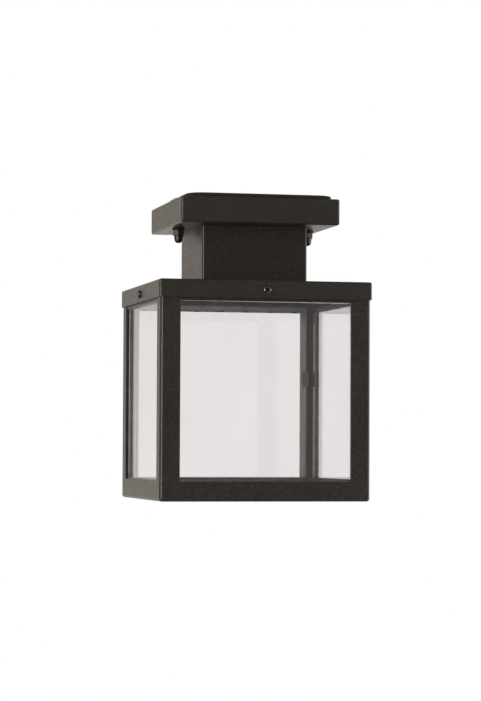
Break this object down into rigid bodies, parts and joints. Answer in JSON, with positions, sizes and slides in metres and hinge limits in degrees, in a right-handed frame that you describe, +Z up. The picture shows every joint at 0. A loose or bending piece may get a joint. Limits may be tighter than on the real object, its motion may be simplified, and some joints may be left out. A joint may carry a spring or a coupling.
{
  "type": "porch ceiling lantern",
  "caption": "Square outdoor ceiling lantern: dark coated steel canopy, neck and roof over a clear glass cage, with an LED light under the roof and nuts and screws that let it come apart.",
  "frame": {"origin": "on the ceiling, at the centre of the mounting crossbar's top face, between its two slots", "axes": "+Z up into the ceiling, -Y the front, +X to the right seen from the front"},
  "size_m": [0.1644, 0.1644, 0.2279],
  "materials": {
    "powder_coat": "fine satin powder coat, very dark brown",
    "tray_coat": "matt dark coat",
    "black_steel": "black oxide, slightly glossy",
    "zinc_steel": "zinc plated",
    "green_steel": "green plated screw",
    "brass": "plain",
    "foam_rubber": "closed-cell foam",
    "bush_rubber": "soft moulded",
    "sealant": "pale translucent silicone",
    "clear_glass": "clear float glass",
    "block_plastic": "moulded",
    "driver_plastic": "moulded, fine grain",
    "brown_lead": "wire insulation",
    "blue_lead": "wire insulation",
    "earth_lead_plastic": "green and yellow wire insulation",
    "red_lead": "wire insulation",
    "black_lead": "wire insulation",
    "board_white": "white solder mask on aluminium",
    "chip_phosphor": "yellow phosphor",
    "opal_plastic": "opal diffuser"
  },
  "bodies": {
    "ceiling_fixture": {"ceiling_gasket": "foam_rubber", "mounting_crossbar": "zinc_steel", "canopy_studs": "zinc_steel", "stud_nuts": "zinc_steel", "ground_screw": "green_steel", "canopy": "powder_coat", "nut_washers": "bush_rubber", "terminal_block": "block_plastic", "terminal_screws": "brass", "wire_grommets": "bush_rubber", "line_lead": "brown_lead", "neutral_lead": "blue_lead", "earth_lead": "earth_lead_plastic", "neck_tube": "powder_coat", "neck_screws": "zinc_steel", "roof_screws": "black_steel", "weld_nuts": "zinc_steel", "led_driver": "driver_plastic", "driver_screws": "zinc_steel", "plus_lead": "red_lead", "minus_lead": "black_lead", "roof_cap": "powder_coat", "roof_gasket": "foam_rubber", "light_tray": "tray_coat", "side_nuts": "tray_coat", "led_board": "board_white", "led_chips": "chip_phosphor", "board_screws": "zinc_steel", "lens_gasket": "bush_rubber", "led_lens": "opal_plastic", "lens_ring": "tray_coat", "ring_screws": "black_steel"},
    "glass_cage": {"front_frame": "powder_coat", "rear_frame": "powder_coat", "left_frame": "powder_coat", "right_frame": "powder_coat", "corner_angles": "tray_coat", "bottom_ring": "powder_coat", "front_pane": "clear_glass", "rear_pane": "clear_glass", "left_pane": "clear_glass", "right_pane": "clear_glass", "bottom_pane": "clear_glass", "pane_sealant": "sealant", "pane_tabs": "tray_coat"},
    "screw_front": {"side_screw_front": "black_steel"},
    "screw_rear": {"side_screw_rear": "black_steel"},
    "screw_left": {"side_screw_left": "black_steel"},
    "screw_right": {"side_screw_right": "black_steel"},
    "nut_left": {"cap_nut_left": "black_steel"},
    "nut_right": {"cap_nut_right": "black_steel"}
  },
  "joints": [
    {"name": "cage_drop", "type": "slide", "parent": "ceiling_fixture", "child": "glass_cage", "axis": [0, 0, -1], "range_m": [0, 0.03]},
    {"name": "screw_front_out", "type": "slide", "parent": "ceiling_fixture", "child": "screw_front", "axis": [0, -1, 0], "range_m": [0, 0.008]},
    {"name": "screw_rear_out", "type": "slide", "parent": "ceiling_fixture", "child": "screw_rear", "axis": [0, 1, 0], "range_m": [0, 0.008]},
    {"name": "screw_left_out", "type": "slide", "parent": "ceiling_fixture", "child": "screw_left", "axis": [-1, 0, 0], "range_m": [0, 0.008]},
    {"name": "screw_right_out", "type": "slide", "parent": "ceiling_fixture", "child": "screw_right", "axis": [1, 0, 0], "range_m": [0, 0.008]},
    {"name": "nut_left_down", "type": "slide", "parent": "ceiling_fixture", "child": "nut_left", "axis": [0, 0, -1], "range_m": [0, 0.01]},
    {"name": "nut_right_down", "type": "slide", "parent": "ceiling_fixture", "child": "nut_right", "axis": [0, 0, -1], "range_m": [0, 0.01]}
  ]
}
